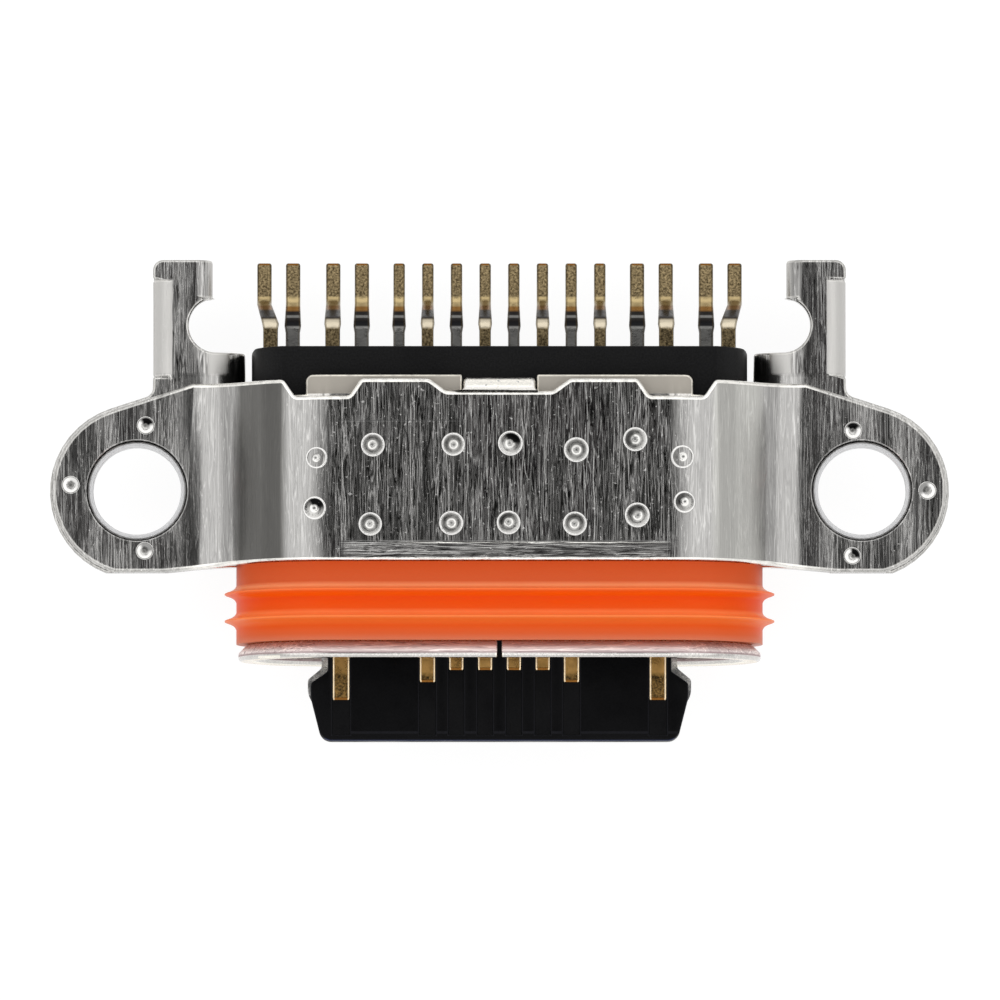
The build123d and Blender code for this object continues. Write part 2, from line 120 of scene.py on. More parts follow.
class Wiring:
    """Adds and joins shader nodes in one tree."""

    def __init__(self, tree: bpy.types.NodeTree) -> None:
        """Takes the tree to work in."""
        self.tree = tree

    def join(self, source: Given | Iterable[float], target: Socket) -> None:
        """Joins an output to an input, or sets the input to a plain value.

        Args:
            source: Output socket or value.
            target: Input socket.
        """
        if isinstance(source, Socket):
            self.tree.links.new(source, target)
        else:
            target.default_value = source

    def add(self, kind: str, inputs: dict | None = None, **settings) -> bpy.types.Node:
        """Adds one node.

        Args:
            kind: Blender's identifier of the node type.
            inputs: Socket name or index to a value, or to the socket to join it to.
            **settings: Attributes of the node itself.

        Returns:
            The new node.
        """
        node = self.tree.nodes.new(kind)
        for name, value in settings.items():
            setattr(node, name, value)
        for name, value in (inputs or {}).items():
            self.join(value, node.inputs[name])
        return node

    def ramp(self, factor: Socket, stops: Iterable[tuple[float, Colour]]) -> Socket:
        """Adds a colour ramp.

        Args:
            factor: Socket that drives the ramp.
            stops: Place from 0 to 1 and colour of each stop, in order.

        Returns:
            The ramp's colour socket.
        """
        node = self.add("ShaderNodeValToRGB", {"Fac": factor})
        elements = node.color_ramp.elements
        stops = list(stops)
        while len(elements) < len(stops):
            elements.new(0.5)
        for element, (place, colour) in zip(elements, stops):
            element.position = place
            element.color = (*colour, 1)
        return node.outputs["Color"]

    def blend(self, factor: Given, first: Socket | Colour, second: Socket | Colour,
              mode: str = "MIX") -> Socket:
        """Mixes two colours.

        Args:
            factor: Share of the second colour.
            first: First colour, or the socket that gives it.
            second: Second colour, or the socket that gives it.
            mode: Blender's name of the blend type.

        Returns:
            The mixed colour's socket.
        """
        node = self.add("ShaderNodeMix", {0: factor}, data_type="RGBA", blend_type=mode)
        for index, colour in ((6, first), (7, second)):
            self.join(colour if isinstance(colour, Socket) else (*colour, 1), node.inputs[index])
        return node.outputs[2]

    def noise(self, place: Socket, scale: Given, detail: float, roughness: float) -> Socket:
        """Adds a noise pattern.

        Args:
            place: Coordinates of the pattern.
            scale: Its density.
            detail: Number of its finer layers.
            roughness: Share that each finer layer keeps.

        Returns:
            The pattern's socket.
        """
        return self.add("ShaderNodeTexNoise", {
            "Vector": place, "Scale": scale, "Detail": detail, "Roughness": roughness,
        }).outputs["Fac"]

    def level(self, value: Socket, low: Given, high: Given,
              to_low: Given = 0.0, to_high: Given = 1.0) -> Socket:
        """Maps one range of values onto another, and holds it there.

        Args:
            value: Socket to map.
            low: Value that becomes to_low.
            high: Value that becomes to_high.
            to_low: Result at the low end.
            to_high: Result at the high end.

        Returns:
            The mapped value's socket.
        """
        return self.add("ShaderNodeMapRange", {
            "Value": value, "From Min": low, "From Max": high, "To Min": to_low, "To Max": to_high,
        }).outputs["Result"]

    def step(self, value: Socket, at: float, over: float) -> Socket:
        """A mask that rises from 0 to 1 over a length past a value, or before it if it's negative."""
        return self.level(value, at, at + over)

    def band(self, value: Socket, low: float, high: float, soft: float) -> Socket:
        """A mask that is 1 between two values, with soft ends.

        Args:
            value: Socket to test.
            low: Lower end of the band.
            high: Upper end of the band.
            soft: Length over which the mask fades.

        Returns:
            The mask's socket.
        """
        rise = self.step(value, low - soft / 2, soft)
        fall = self.step(value, high + soft / 2, -soft)
        return self.times(rise, fall)

    def maths(self, operation: str, first: Given, second: Given = 0.0) -> Socket:
        """One arithmetic step, by Blender's name of the operation."""
        return self.add("ShaderNodeMath", {0: first, 1: second}, operation=operation).outputs[0]

    def times(self, first: Given, second: Given) -> Socket:
        """The product of two values."""
        return self.maths("MULTIPLY", first, second)

    def most(self, first: Given, second: Given) -> Socket:
        """The larger of two values."""
        return self.maths("MAXIMUM", first, second)

    def rest(self, value: Socket) -> Socket:
        """What a value lacks of 1."""
        return self.maths("SUBTRACT", 1.0, value)

    def reach(self, across: Socket, along: Socket) -> Socket:
        """The distance that two lengths at right angles make."""
        square = self.maths("ADD", self.times(across, across), self.times(along, along))
        return self.maths("SQRT", square)


class EffectGroups:
    """Shader effects that several finishes share, each built once as a node group."""

    def __init__(self) -> None:
        """Builds the groups, each under the name of the method that wires it."""
        self.groups = {
            wire.__name__: self.make(wire, inputs) for wire, inputs in (
                (self.grain, {"Density": 30000.0}),
                (self.scratch, {"Density": 9000.0, "Base": 0.25}),
                (self.mottle, {"Patch Density": 1500.0, "Speck Density": 20000.0}),
                (self.wear_and_sheen, {"Edge": 0.0, "Density": 9000.0, "Least": 0.7}),
            )
        }

    @staticmethod
    def make(wire: Callable, inputs: dict[str, float]) -> bpy.types.NodeTree:
        """Makes one group.

        Args:
            wire: Wires the effect from the group's inputs, and gives its outputs by name.
            inputs: Number input's name to its usual value. The group also gets a Place.

        Returns:
            The group.
        """
        tree = bpy.data.node_groups.new(wire.__name__, "ShaderNodeTree")
        tree.interface.new_socket("Place", in_out="INPUT", socket_type="NodeSocketVector")
        for label, value in inputs.items():
            socket = tree.interface.new_socket(label, in_out="INPUT", socket_type="NodeSocketFloat")
            socket.default_value = value
        wiring = Wiring(tree)
        results = wire(wiring, wiring.add("NodeGroupInput").outputs)
        for label in results:
            tree.interface.new_socket(label, in_out="OUTPUT", socket_type="NodeSocketFloat")
        wiring.add("NodeGroupOutput", results)
        return tree

    @staticmethod
    def grain(wiring: Wiring, given: bpy.types.bpy_prop_collection) -> dict[str, Socket]:
        """Fine grain of a rolled metal, broken by softer bands.

        Args:
            wiring: The group's tree.
            given: Its inputs.

        Returns:
            Wide, its soft bands, and Both, the grain with them, from 0 to 1.
        """
        place, density = given["Place"], given["Density"]
        fine = wiring.level(wiring.noise(place, density, detail=3.0, roughness=0.62), 0.40, 0.62)
        bands = wiring.noise(place, wiring.times(density, 0.16), detail=2.0, roughness=0.5)
        wide = wiring.level(bands, 0.36, 0.66)
        return {"Wide": wide, "Both": wiring.times(fine, wiring.level(wide, 0.0, 1.0, 0.55, 1.25))}

    @staticmethod
    def scratch(wiring: Wiring, given: bpy.types.bpy_prop_collection) -> dict[str, Socket]:
        """Long thin scratches, pale and dark, that come and go along their length.

        Args:
            wiring: The group's tree.
            given: Its inputs.

        Returns:
            Lines, from 0 for a dark scratch through Base for bare metal to 1 for a pale one, and
            Wide, its soft bands from 0 to 1.
        """
        place, density = given["Place"], given["Density"]
        bands = wiring.noise(place, wiring.times(density, 0.35), detail=2.0, roughness=0.5)
        wide = wiring.level(bands, 0.36, 0.64)
        lines = wiring.times(given["Base"], wiring.level(wide, 0.0, 1.0, 0.85, 1.2))
        fading = wiring.level(wide, 0.0, 1.0, 0.45, 1.0)
        for share, pale, dark in ((1.0, 0.55, 0.40), (1.9, 0.55, 0.50), (4.0, 0.28, 0.26)):
            noise = wiring.noise(place, wiring.times(density, share), detail=1.0, roughness=0.4)
            for low, high, rise in ((0.535, 0.565, pale), (0.435, 0.46, -dark)):
                faded = wiring.times(wiring.band(noise, low, high, soft=0.022), fading)
                lines = wiring.maths("ADD", lines, wiring.times(faded, rise))
        return {"Lines": wiring.level(lines, 0.0, 1.0), "Wide": wide}

    @staticmethod
    def mottle(wiring: Wiring, given: bpy.types.bpy_prop_collection) -> dict[str, Socket]:
        """Soft patches, small specks and rare bright flecks.

        Args:
            wiring: The group's tree.
            given: Its inputs.

        Returns:
            Patch, Speck and Fleck, each from 0 to 1.
        """
        place, density = given["Place"], given["Speck Density"]
        patch = wiring.noise(place, given["Patch Density"], detail=4.0, roughness=0.55)
        speck = wiring.noise(place, density, detail=2.0, roughness=0.7)
        fleck = wiring.noise(place, wiring.times(density, 0.7), detail=1.0, roughness=0.4)
        return {
            "Patch": wiring.level(patch, 0.3, 0.7), "Speck": wiring.level(speck, 0.35, 0.68),
            "Fleck": wiring.level(fleck, 0.705, 0.745),
        }

    @staticmethod
    def wear_and_sheen(wiring: Wiring, given: bpy.types.bpy_prop_collection) -> dict[str, Socket]:
        """Mask of softened edges, broken by small nicks, where finishes paint polished wear together with a
        painted highlight or painted shade.

        Args:
            wiring: The group's tree.
            given: Its inputs.

        Returns:
            Mask, from 0 to 1.
        """
        nicks = wiring.noise(given["Place"], given["Density"], detail=2.0, roughness=0.6)
        kept = wiring.level(nicks, 0.35, 0.6, given["Least"], 1.0)
        return {"Mask": wiring.times(kept, given["Edge"])}


class Coat(Wiring):
    """A material's tree, with its shader, its coordinates and the shared effects."""

    def __init__(self, material: bpy.types.Material, effects: EffectGroups) -> None:
        """Takes the material to wire.

        Args:
            material: New material with nodes.
            effects: Shared effect groups.
        """
        super().__init__(material.node_tree)
        self.effects = effects
        self.shader = self.tree.nodes["Principled BSDF"]
        self.place = self.add("ShaderNodeTexCoord").outputs["Object"]

    def axes(self) -> tuple[Socket, Socket, Socket]:
        """The place along each axis, in millimetres."""
        scaled = self.add("ShaderNodeVectorMath", {0: self.place, "Scale": 1 / MM}, operation="SCALE")
        return tuple(self.add("ShaderNodeSeparateXYZ", {0: scaled.outputs["Vector"]}).outputs)

    def mark(self, name: str) -> Socket:
        """Value of an attribute that a piece's mesh carries."""
        return self.add("ShaderNodeAttribute", attribute_name=name).outputs["Fac"]

    def brushed(self, brush: Brush) -> Socket:
        """The place, squeezed along a direction of brushing."""
        return self.add("ShaderNodeMapping", {"Vector": self.place, "Scale": brush.value}).outputs[0]

    def effect(self, name: str, place: Socket | None = None,
               **inputs: Given) -> bpy.types.bpy_prop_collection:
        """Places a shared effect in the material.

        Args:
            name: Name of the effect.
            place: Coordinates for its pattern, where they aren't the plain ones.
            **inputs: Its other inputs, with _ for a space in a name.

        Returns:
            The outputs of the placed group.
        """
        place = self.place if place is None else place
        given = {label.replace("_", " "): value for label, value in inputs.items()}
        return self.add("ShaderNodeGroup", {"Place": place, **given},
                        node_tree=self.effects.groups[name]).outputs

    def paint(self, colour: Socket, rough: Socket) -> None:
        """Gives the shader its colour and roughness."""
        self.join(colour, self.shader.inputs["Base Color"])
        self.join(rough, self.shader.inputs["Roughness"])

    def relief(self, height: Socket, depth_mm: float, strength: float) -> None:
        """Gives the shader a fine relief.

        Args:
            height: Height from 0 to 1.
            depth_mm: Depth that a height of 1 stands for, in millimetres.
            strength: Share of the relief that shows.
        """
        bump = self.add("ShaderNodeBump", {
            "Height": height, "Distance": depth_mm * MM, "Strength": strength,
        })
        self.join(bump.outputs["Normal"], self.shader.inputs["Normal"])


@dataclass(frozen=True)
class Finish:
    """A surface finish. Subclasses wire their own pattern into the shader."""

    name: str
    metallic: float = 0.0
    specular: float = 0.5

    def material(self, effects: EffectGroups) -> bpy.types.Material:
        """Builds the material.

        Args:
            effects: Shared effect groups.

        Returns:
            The finished material.
        """
        made = bpy.data.materials.new(self.name)
        made.use_nodes = True
        coat = Coat(made, effects)
        coat.shader.inputs["Metallic"].default_value = self.metallic
        coat.shader.inputs["Specular IOR Level"].default_value = self.specular
        self.pattern(coat)
        return made

    def pattern(self, coat: Coat) -> None:
        """Wires colour, roughness and relief into a coat. Each subclass has its own."""
        raise NotImplementedError


@dataclass(frozen=True)
class SheetSteel(Finish):
    """Brushed sheet of the clamping brackets: streaked flats, plain bends, pale edges that are partly
    polished wear and partly painted highlight, painted shade on the left flank and in the pressed lines,
    and painted light on the right flank, the folds, the tab and the front crease.
    """

    metallic: float = 1.0
    dark: Colour = (0.04, 0.039, 0.037)
    pale: Colour = (0.60, 0.59, 0.575)
    bend: Colour = (0.40, 0.394, 0.383)
    # Painted shade on the left flank and painted light on the right one, because light falls unevenly on
    # them.
    left_flank_shade: Colour = (0.140, 0.137, 0.130)
    right_flank: Colour = (0.48, 0.475, 0.45)
    # fold: painted highlight on the arms' bent folds.
    fold: Colour = (0.56, 0.55, 0.53)
    # Painted highlight on the bent-down tab.
    tab_highlight: Colour = (0.95, 0.92, 0.85)
    collar: Colour = (0.62, 0.62, 0.625)
    # edge: pale edge colour, partly polished wear and partly painted highlight.
    edge: Colour = (0.97, 0.95, 0.90)
    # Painted shade in the pressed lines.
    line: Colour = (0.05, 0.05, 0.05)
    plate_streaks: Range = (10000.0, 0.18)
    ear_streaks: Range = (7500.0, 0.50)
    front_streaks: Range = (6500.0, 0.46)
    arm_shift: float = -0.14
    bend_streaks: Range = (0.84, 1.60)
    flank_streaks: Range = (0.92, 1.25)
    ear_mm: Range = (5.20, 5.70)
    shoulder_mm: Range = (3.12, 5.38)
    flank_mm: Range = (3.72, 4.56)
    arm_mm: Range = (4.30, 1.98)
    outer_fold_mm: Range = (5.68, 3.70)
    inner_fold_mm: Range = (4.70, 5.08)
    front_mm: float = -0.95
    front_ends_mm: Range = (-2.72, 2.94)
    crease_ends_mm: Range = (-1.70, 2.80)
    crease_mm: Range = (-0.998, -0.978)
    tab_mm: Range = (0.63, 1.66)
    tab_low_mm: Range = (0.9, 1.0)
    pressed: tuple[tuple[float, float, float], ...] = ((-2.80, -0.68, 1.125), (-2.71, 2.94, -0.948))
    pressed_half_mm: float = 0.008
    pressed_depth: float = 0.75
    top_mm: Range = (1.6, 1.66)
    collar_mm: float = 0.858
    rim_mm: float = 0.968
    outer_wear: float = 0.72
    smooth: float = 0.12
    rough: float = 0.22
    worn_rough: float = 0.34
    satin_rough: float = 0.44
    bend_depth: float = 0.12
    depth_mm: float = 0.0028

    def pattern(self, coat: Coat) -> None:
        """Wires streaks, bends, arms, pressed lines and edges, with their painted shade and painted
        highlights.

        Args:
            coat: Material to wire.
        """
        x, y, z = coat.axes()
        side = coat.maths("ABSOLUTE", x)
        along, across = coat.brushed(Brush.ALONG_Y), coat.brushed(Brush.ALONG_X)
        plate, ear, rubbed = (
            coat.effect("scratch", place, Density=density, Base=base)
            for place, (density, base) in (
                (along, self.plate_streaks), (along, self.ear_streaks), (across, self.front_streaks),
            )
        )
        ears = coat.level(side, *self.ear_mm)
        arms = coat.times(coat.step(side, self.arm_mm[0], over=0.1), coat.step(y, self.arm_mm[1], over=0.1))
        front = coat.times(coat.step(y, self.front_mm, over=-0.03),
                           coat.band(x, *self.front_ends_mm, soft=0.2))
        lines = coat.blend(coat.most(ears, arms), plate["Lines"], ear["Lines"])
        scored = coat.blend(front, lines, rubbed["Lines"])
        bends = coat.band(side, *self.shoulder_mm, soft=0.45)
        bent = self.bent_sheet(coat, x, side, plate["Lines"])
        colour = coat.blend(bends, coat.blend(scored, self.dark, self.pale), bent)
        mottled = coat.blend(coat.level(lines, 0.0, 1.0, self.arm_shift, 1.0), self.dark, self.pale)
        colour = coat.blend(arms, colour, mottled)
        # Painted highlight on the arms' folds, which also take a satin roughness.
        fold_highlights = coat.times(arms, coat.most(
            coat.times(coat.step(side, self.outer_fold_mm[0], over=0.02),
                       coat.step(y, self.outer_fold_mm[1], over=-0.02)),
            coat.band(side, *self.inner_fold_mm, soft=0.12)))
        # Painted highlight on the lower part of the bent tab.
        tab_highlight = coat.times(coat.step(side, self.tab_mm[0], over=-0.01),
                         coat.step(y, self.tab_mm[1], over=0.02))
        tab_highlight = coat.times(tab_highlight, coat.level(z, *self.tab_low_mm))
        colour = coat.blend(tab_highlight, coat.blend(fold_highlights, colour, self.fold), self.tab_highlight)
        fleck = coat.effect("mottle", Patch_Density=1800.0, Speck_Density=24000.0)["Fleck"]
        colour = coat.blend(coat.times(fleck, coat.rest(bends)), colour, self.pale)
        pressed = self.pressed_lines(coat, x, y, z)
        # Painted highlight along the front crease.
        crease_highlight = coat.times(coat.band(x, *self.crease_ends_mm, soft=0.6),
                            coat.band(y, *self.crease_mm, soft=0.014))
        # Painted shade in the pressed lines.
        colour = coat.blend(pressed, colour, self.line)
        colour = coat.blend(coat.times(crease_highlight, front), colour, self.edge)
        reach = coat.reach(coat.maths("SUBTRACT", side, HOLE_MM), y)
        collar = coat.step(reach, self.collar_mm, over=-0.01)
        # Pale edges: polished wear with a painted highlight, held back round the holes and on the ears and
        # arms.
        spared = coat.most(coat.step(reach, self.rim_mm, over=-0.01),
                           coat.times(coat.most(ears, arms), self.outer_wear))
        worn_and_sheen = coat.times(coat.effect("wear_and_sheen", Edge=coat.mark("edge"))["Mask"], coat.rest(spared))
        colour = coat.blend(worn_and_sheen, coat.blend(collar, colour, self.collar), self.edge)
        matt = coat.most(coat.times(worn_and_sheen, self.worn_rough),
                         coat.times(coat.most(fold_highlights, collar), self.satin_rough))
        coat.paint(colour, coat.most(coat.level(ear["Wide"], 0.0, 1.0, self.smooth, self.rough), matt))
        calm = coat.level(bends, 0.0, 1.0, 1.0, self.bend_depth)
        coat.relief(coat.times(coat.maths("SUBTRACT", scored, pressed), calm), self.depth_mm, strength=0.8)

    def bent_sheet(self, coat: Coat, x: Socket, side: Socket, streaks: Socket) -> Socket:
        """Colour of the bends, with the flatter flank between them on each side: painted shade on the left
        flank and painted light on the right one.

        Args:
            coat: Material to wire.
            x: Place across, in millimetres.
            side: Distance from the middle plane, in millimetres.
            streaks: The sheet's streaks.

        Returns:
            The colour's socket.
        """
        flanks = coat.band(side, *self.flank_mm, soft=0.14)
        # Painted shade on the left flank, fading to painted light on the right.
        flank_shading = coat.blend(coat.level(x, -1.0, 1.0), self.left_flank_shade, self.right_flank)
        dimmest, brightest = (
            coat.level(flanks, 0.0, 1.0, bend, flat)
            for bend, flat in zip(self.bend_streaks, self.flank_streaks)
        )
        worked = coat.blend(streaks, dimmest, brightest)
        return coat.blend(1.0, coat.blend(flanks, self.bend, flank_shading), worked, "MULTIPLY")

    def pressed_lines(self, coat: Coat, x: Socket, y: Socket, z: Socket) -> Socket:
        """Mask of the faint lines pressed across the top sheet, which are painted in shade.

        Args:
            coat: Material to wire.
            x: Place across, in millimetres.
            y: Place along, in millimetres.
            z: Height, in millimetres.

        Returns:
            The mask's socket.
        """
        half = self.pressed_half_mm
        masks = [
            coat.times(coat.band(x, left, right, soft=0.3), coat.band(y, at - half, at + half, soft=0.012))
            for left, right, at in self.pressed
        ]
        return coat.times(coat.most(*masks), coat.level(z, *self.top_mm, 0.0, self.pressed_depth))


@dataclass(frozen=True)
class DrawnSteel(Finish):
    """Bright drawn steel of the shell and the plate, with a faint rolled grain, a painted reflection of the
    seal on the shell's lip, and painted highlights on the lip's front rim and the edges.
    """

    metallic: float = 1.0
    dark: Colour = (0.56, 0.545, 0.52)
    pale: Colour = (0.72, 0.70, 0.67)
    # Pale edge colour: polished wear with a painted highlight.
    edge: Colour = (0.98, 0.94, 0.84)
    # Painted reflection of the orange seal on the lip's sloping back, with a dark red line in it.
    lip_reflection: Colour = (1.0, 0.91, 0.87)
    lip_dark: Colour = (0.30, 0.20, 0.21)
    lip_mm: tuple[float, float, float, float] = (-2.965, -2.895, -2.855, -2.69)
    # Painted highlight along the lip's front rim.
    cream_highlight: Colour = (0.98, 0.80, 0.50)
    flap: Colour = (0.40, 0.372, 0.33)
    flap_mm: float = 1.60
    fold_blur_mm: float = 0.02
    least_vein: float = 0.3
    worn_satin: float = 0.25
    density: float = 30000.0
    vein_density: float = 9000.0
    vein_base: float = 0.62
    smooth: float = 0.10
    rough: float = 0.24
    worn_rough: float = 0.30
    satin_rough: float = 0.58
    depth_mm: float = 0.0008

    def pattern(self, coat: Coat) -> None:
        """Wires the grain, the lip's painted reflection, the flaps and the pale edges with their painted
        highlight.

        Args:
            coat: Material to wire.
        """
        _, y, _ = coat.axes()
        end, brow, fold, back = self.lip_mm
        grain = coat.effect("grain", Density=self.density)
        worn_and_sheen = coat.effect("wear_and_sheen", Edge=coat.mark("edge"))["Mask"]
        veins = coat.effect("scratch", coat.brushed(Brush.ALONG_X), Density=self.vein_density,
                            Base=self.vein_base)
        lip_reflection = coat.band(y, brow, back, soft=0.01)
        flap = coat.step(y, self.flap_mm, over=0.02)
        colour = coat.blend(worn_and_sheen, coat.blend(grain["Both"], self.dark, self.pale), self.edge)
        # Painted reflection of the seal on the lip: pink, streaked, and dark red near its fold.
        shown = coat.level(y, fold - self.fold_blur_mm, fold, self.least_vein, 1.0)
        sloped = coat.times(veins["Lines"], shown)
        colour = coat.blend(lip_reflection, colour, coat.blend(sloped, self.lip_dark, self.lip_reflection))
        satin = coat.times(flap, coat.level(worn_and_sheen, 0.0, 1.0, 1.0, self.worn_satin))
        colour = coat.blend(satin, colour, self.flap)
        # Painted highlight along the lip's front rim.
        colour = coat.blend(coat.step(y, end, over=-0.01), colour, self.cream_highlight)
        matt = coat.most(coat.times(worn_and_sheen, self.worn_rough),
                         coat.times(coat.most(lip_reflection, flap), self.satin_rough))
        coat.paint(colour, coat.most(coat.level(grain["Wide"], 0.0, 1.0, self.smooth, self.rough), matt))
        coat.relief(grain["Both"], self.depth_mm, strength=0.5)


@dataclass(frozen=True)
class LeadPlating(Finish):
    """Gold-plated leads: bright strips and textured feet, with painted highlights on the bends and the
    strips' edges, a painted orange reflection below the lower bend, and painted shade on the slopes and the
    tails' edges.
    """

    metallic: float = 1.0
    gold: Colour = (0.64, 0.37, 0.12)
    deep_gold: Colour = (0.40, 0.23, 0.07)
    # Painted highlight on the lower bend, and below it a painted orange reflection between the slope and
    # the foot.
    bend_highlight: Colour = (0.48, 0.37, 0.19)
    orange: Colour = (0.26, 0.13, 0.035)
    end: Colour = (0.20, 0.085, 0.018)
    foot_dark: Colour = (0.05, 0.036, 0.018)
    foot_pale: Colour = (0.34, 0.26, 0.14)
    # Painted shade on the steep slopes.
    slope_shade: Colour = (0.018, 0.016, 0.015)
    # Painted highlight on the upper row's convex bend.
    cream_highlight: Colour = (0.62, 0.55, 0.42)
    nickel: Colour = (0.19, 0.188, 0.18)
    # Painted shade where the lower row turns down past its flat.
    black: Colour = (0.012, 0.012, 0.013)
    # Cream strip edges: painted highlight; the tails' edges take painted shade in foot_dark.
    edge: Colour = (0.92, 0.74, 0.50)
    worn_mm: float = -3.16
    tail_mm: float = 2.3
    bend_mm: float = 2.83
    black_mm: float = 2.88
    slope_mm: float = 2.99
    glint_mm: Range = (3.05, 3.10)
    glint_low_mm: float = -0.30
    orange_mm: float = 3.18
    bright_mm: float = 3.27
    foot_mm: float = 3.44
    blur_mm: float = 0.04
    middle_mm: Range = (-0.05, 0.05)
    strip_edges: float = 0.95
    tail_edges: float = 0.55
    smooth: float = 0.20
    rough: float = 0.40

    def pattern(self, coat: Coat) -> None:
        """Wires the zones along the lead, by their place, with painted highlights on the bends and painted
        shade on the slopes.

        Args:
            coat: Material to wire.
        """
        _, y, z = coat.axes()
        spots = coat.effect("mottle", Patch_Density=4000.0, Speck_Density=25000.0)
        wear_and_sheen = coat.effect("wear_and_sheen", Edge=coat.mark("edge"), Least=0.8)["Mask"]
        textured = coat.blend(spots["Speck"], self.foot_dark, self.foot_pale)
        rubbed = coat.blend(spots["Speck"], self.foot_dark, self.deep_gold)
        strip = coat.blend(spots["Patch"], self.deep_gold, self.gold)
        # Painted highlight across the upper row's convex bend, and painted shade where the lower row turns
        # down past its nickel flat.
        upper_flat = coat.blend(coat.band(y, self.bend_mm, self.slope_mm, soft=0.05), textured, self.cream_highlight)
        lower_flat = coat.blend(coat.step(y, self.black_mm, over=0.03), self.nickel, self.black)
        flat = coat.blend(coat.level(z, *self.middle_mm), lower_flat, upper_flat)
        # Painted highlight: a thin nickel-coloured glint across the lower row's slope.
        glint = coat.times(coat.band(y, *self.glint_mm, soft=0.02),
                           coat.step(z, self.glint_low_mm, over=-0.05))
        colour = coat.blend(coat.step(y, self.worn_mm, over=-0.08), strip, rubbed)
        # Along the tail: the flats, the slope in painted shade, a painted orange reflection, the lower
        # bend's painted highlight, then the textured foot.
        for begin, tone in (
            (self.tail_mm, flat), (self.slope_mm, coat.blend(glint, self.slope_shade, self.nickel)),
            (self.orange_mm, self.orange), (self.bright_mm, self.bend_highlight), (self.foot_mm, textured),
        ):
            colour = coat.blend(coat.step(y, begin - self.blur_mm / 2, over=self.blur_mm), colour, tone)
        # Painted highlight on the strips' edges and painted shade on the tails' edges, where the edge mask
        # falls.
        pale = coat.times(wear_and_sheen, coat.level(y, -1.0, 0.0, self.strip_edges, 0.0))
        dark = coat.times(wear_and_sheen, coat.level(y, 0.0, 1.0, 0.0, self.tail_edges))
        colour = coat.blend(dark, coat.blend(pale, colour, self.edge), self.foot_dark)
        colour = coat.blend(coat.mark("end"), colour, self.end)
        coat.paint(colour, coat.level(spots["Patch"], 0.0, 1.0, self.smooth, self.rough))
        coat.relief(spots["Speck"], depth_mm=0.002, strength=0.6)


@dataclass(frozen=True)
class Moulding(Finish):
    """Moulded plastic or silicone with soft patches and specks."""

    dark: Colour = (0.0008, 0.0008, 0.0011)
    pale: Colour = (0.003, 0.003, 0.0036)
    # Paler edge colour: wear with a painted highlight.
    edge: Colour = (0.007, 0.007, 0.009)
    specular: float = 0.06
    smooth: float = 0.30
    rough: float = 0.50
    patch_density: float = 1500.0
    speck_density: float = 26000.0
    depth_mm: float = 0.002
    softness: float = 0.0
    bleed_mm: tuple[float, float, float] = (0.3, 0.09, 0.03)

    def pattern(self, coat: Coat) -> None:
        """Wires the patches and specks into colour, roughness and relief.

        Args:
            coat: Material to wire.
        """
        spots = coat.effect("mottle", Patch_Density=self.patch_density, Speck_Density=self.speck_density)
        wear_and_sheen = coat.effect("wear_and_sheen", Edge=coat.mark("edge"))["Mask"]
        mask = coat.times(coat.maths("ADD", spots["Patch"], spots["Speck"]), 0.5)
        # Paler edges: wear with a painted highlight.
        colour = coat.blend(wear_and_sheen, coat.blend(mask, self.dark, self.pale), self.edge)
        coat.paint(colour, coat.level(spots["Patch"], 0.0, 1.0, self.smooth, self.rough))
        coat.shader.inputs["Subsurface Weight"].default_value = self.softness
        coat.shader.inputs["Subsurface Radius"].default_value = point(*self.bleed_mm)
        coat.relief(spots["Speck"], self.depth_mm, strength=0.4)


@dataclass(frozen=True)
class BlackMoulding(Moulding):
    """Black moulding that is glossy on the tongue and duller on the rear block, with a painted bluish
    reflection along the nose's edges.
    """

    block_dark: Colour = (0.0060, 0.0060, 0.0062)
    block_pale: Colour = (0.0115, 0.0115, 0.0120)
    block_mm: float = 1.5
    # Painted bluish reflection along the nose's edges.
    nose_reflection: Colour = (0.020, 0.026, 0.060)
    nose_mm: float = -4.30

    def pattern(self, coat: Coat) -> None:
        """Wires the duller block, and the nose's edges in a painted bluish reflection, over the tongue's
        black.

        Args:
            coat: Material to wire.
        """
        super().pattern(coat)
        _, y, _ = coat.axes()
        base = coat.shader.inputs["Base Color"]
        specks = coat.effect("mottle", Patch_Density=2200.0, Speck_Density=30000.0)["Speck"]
        block = coat.blend(specks, self.block_dark, self.block_pale)
        colour = coat.blend(coat.step(y, self.block_mm, over=0.05), base.links[0].from_socket, block)
        # Painted bluish reflection on the nose's rounded edges.
        nose_reflection = coat.times(coat.mark("edge"), coat.step(y, self.nose_mm, over=-0.01))
        coat.join(coat.blend(nose_reflection, colour, self.nose_reflection), base)


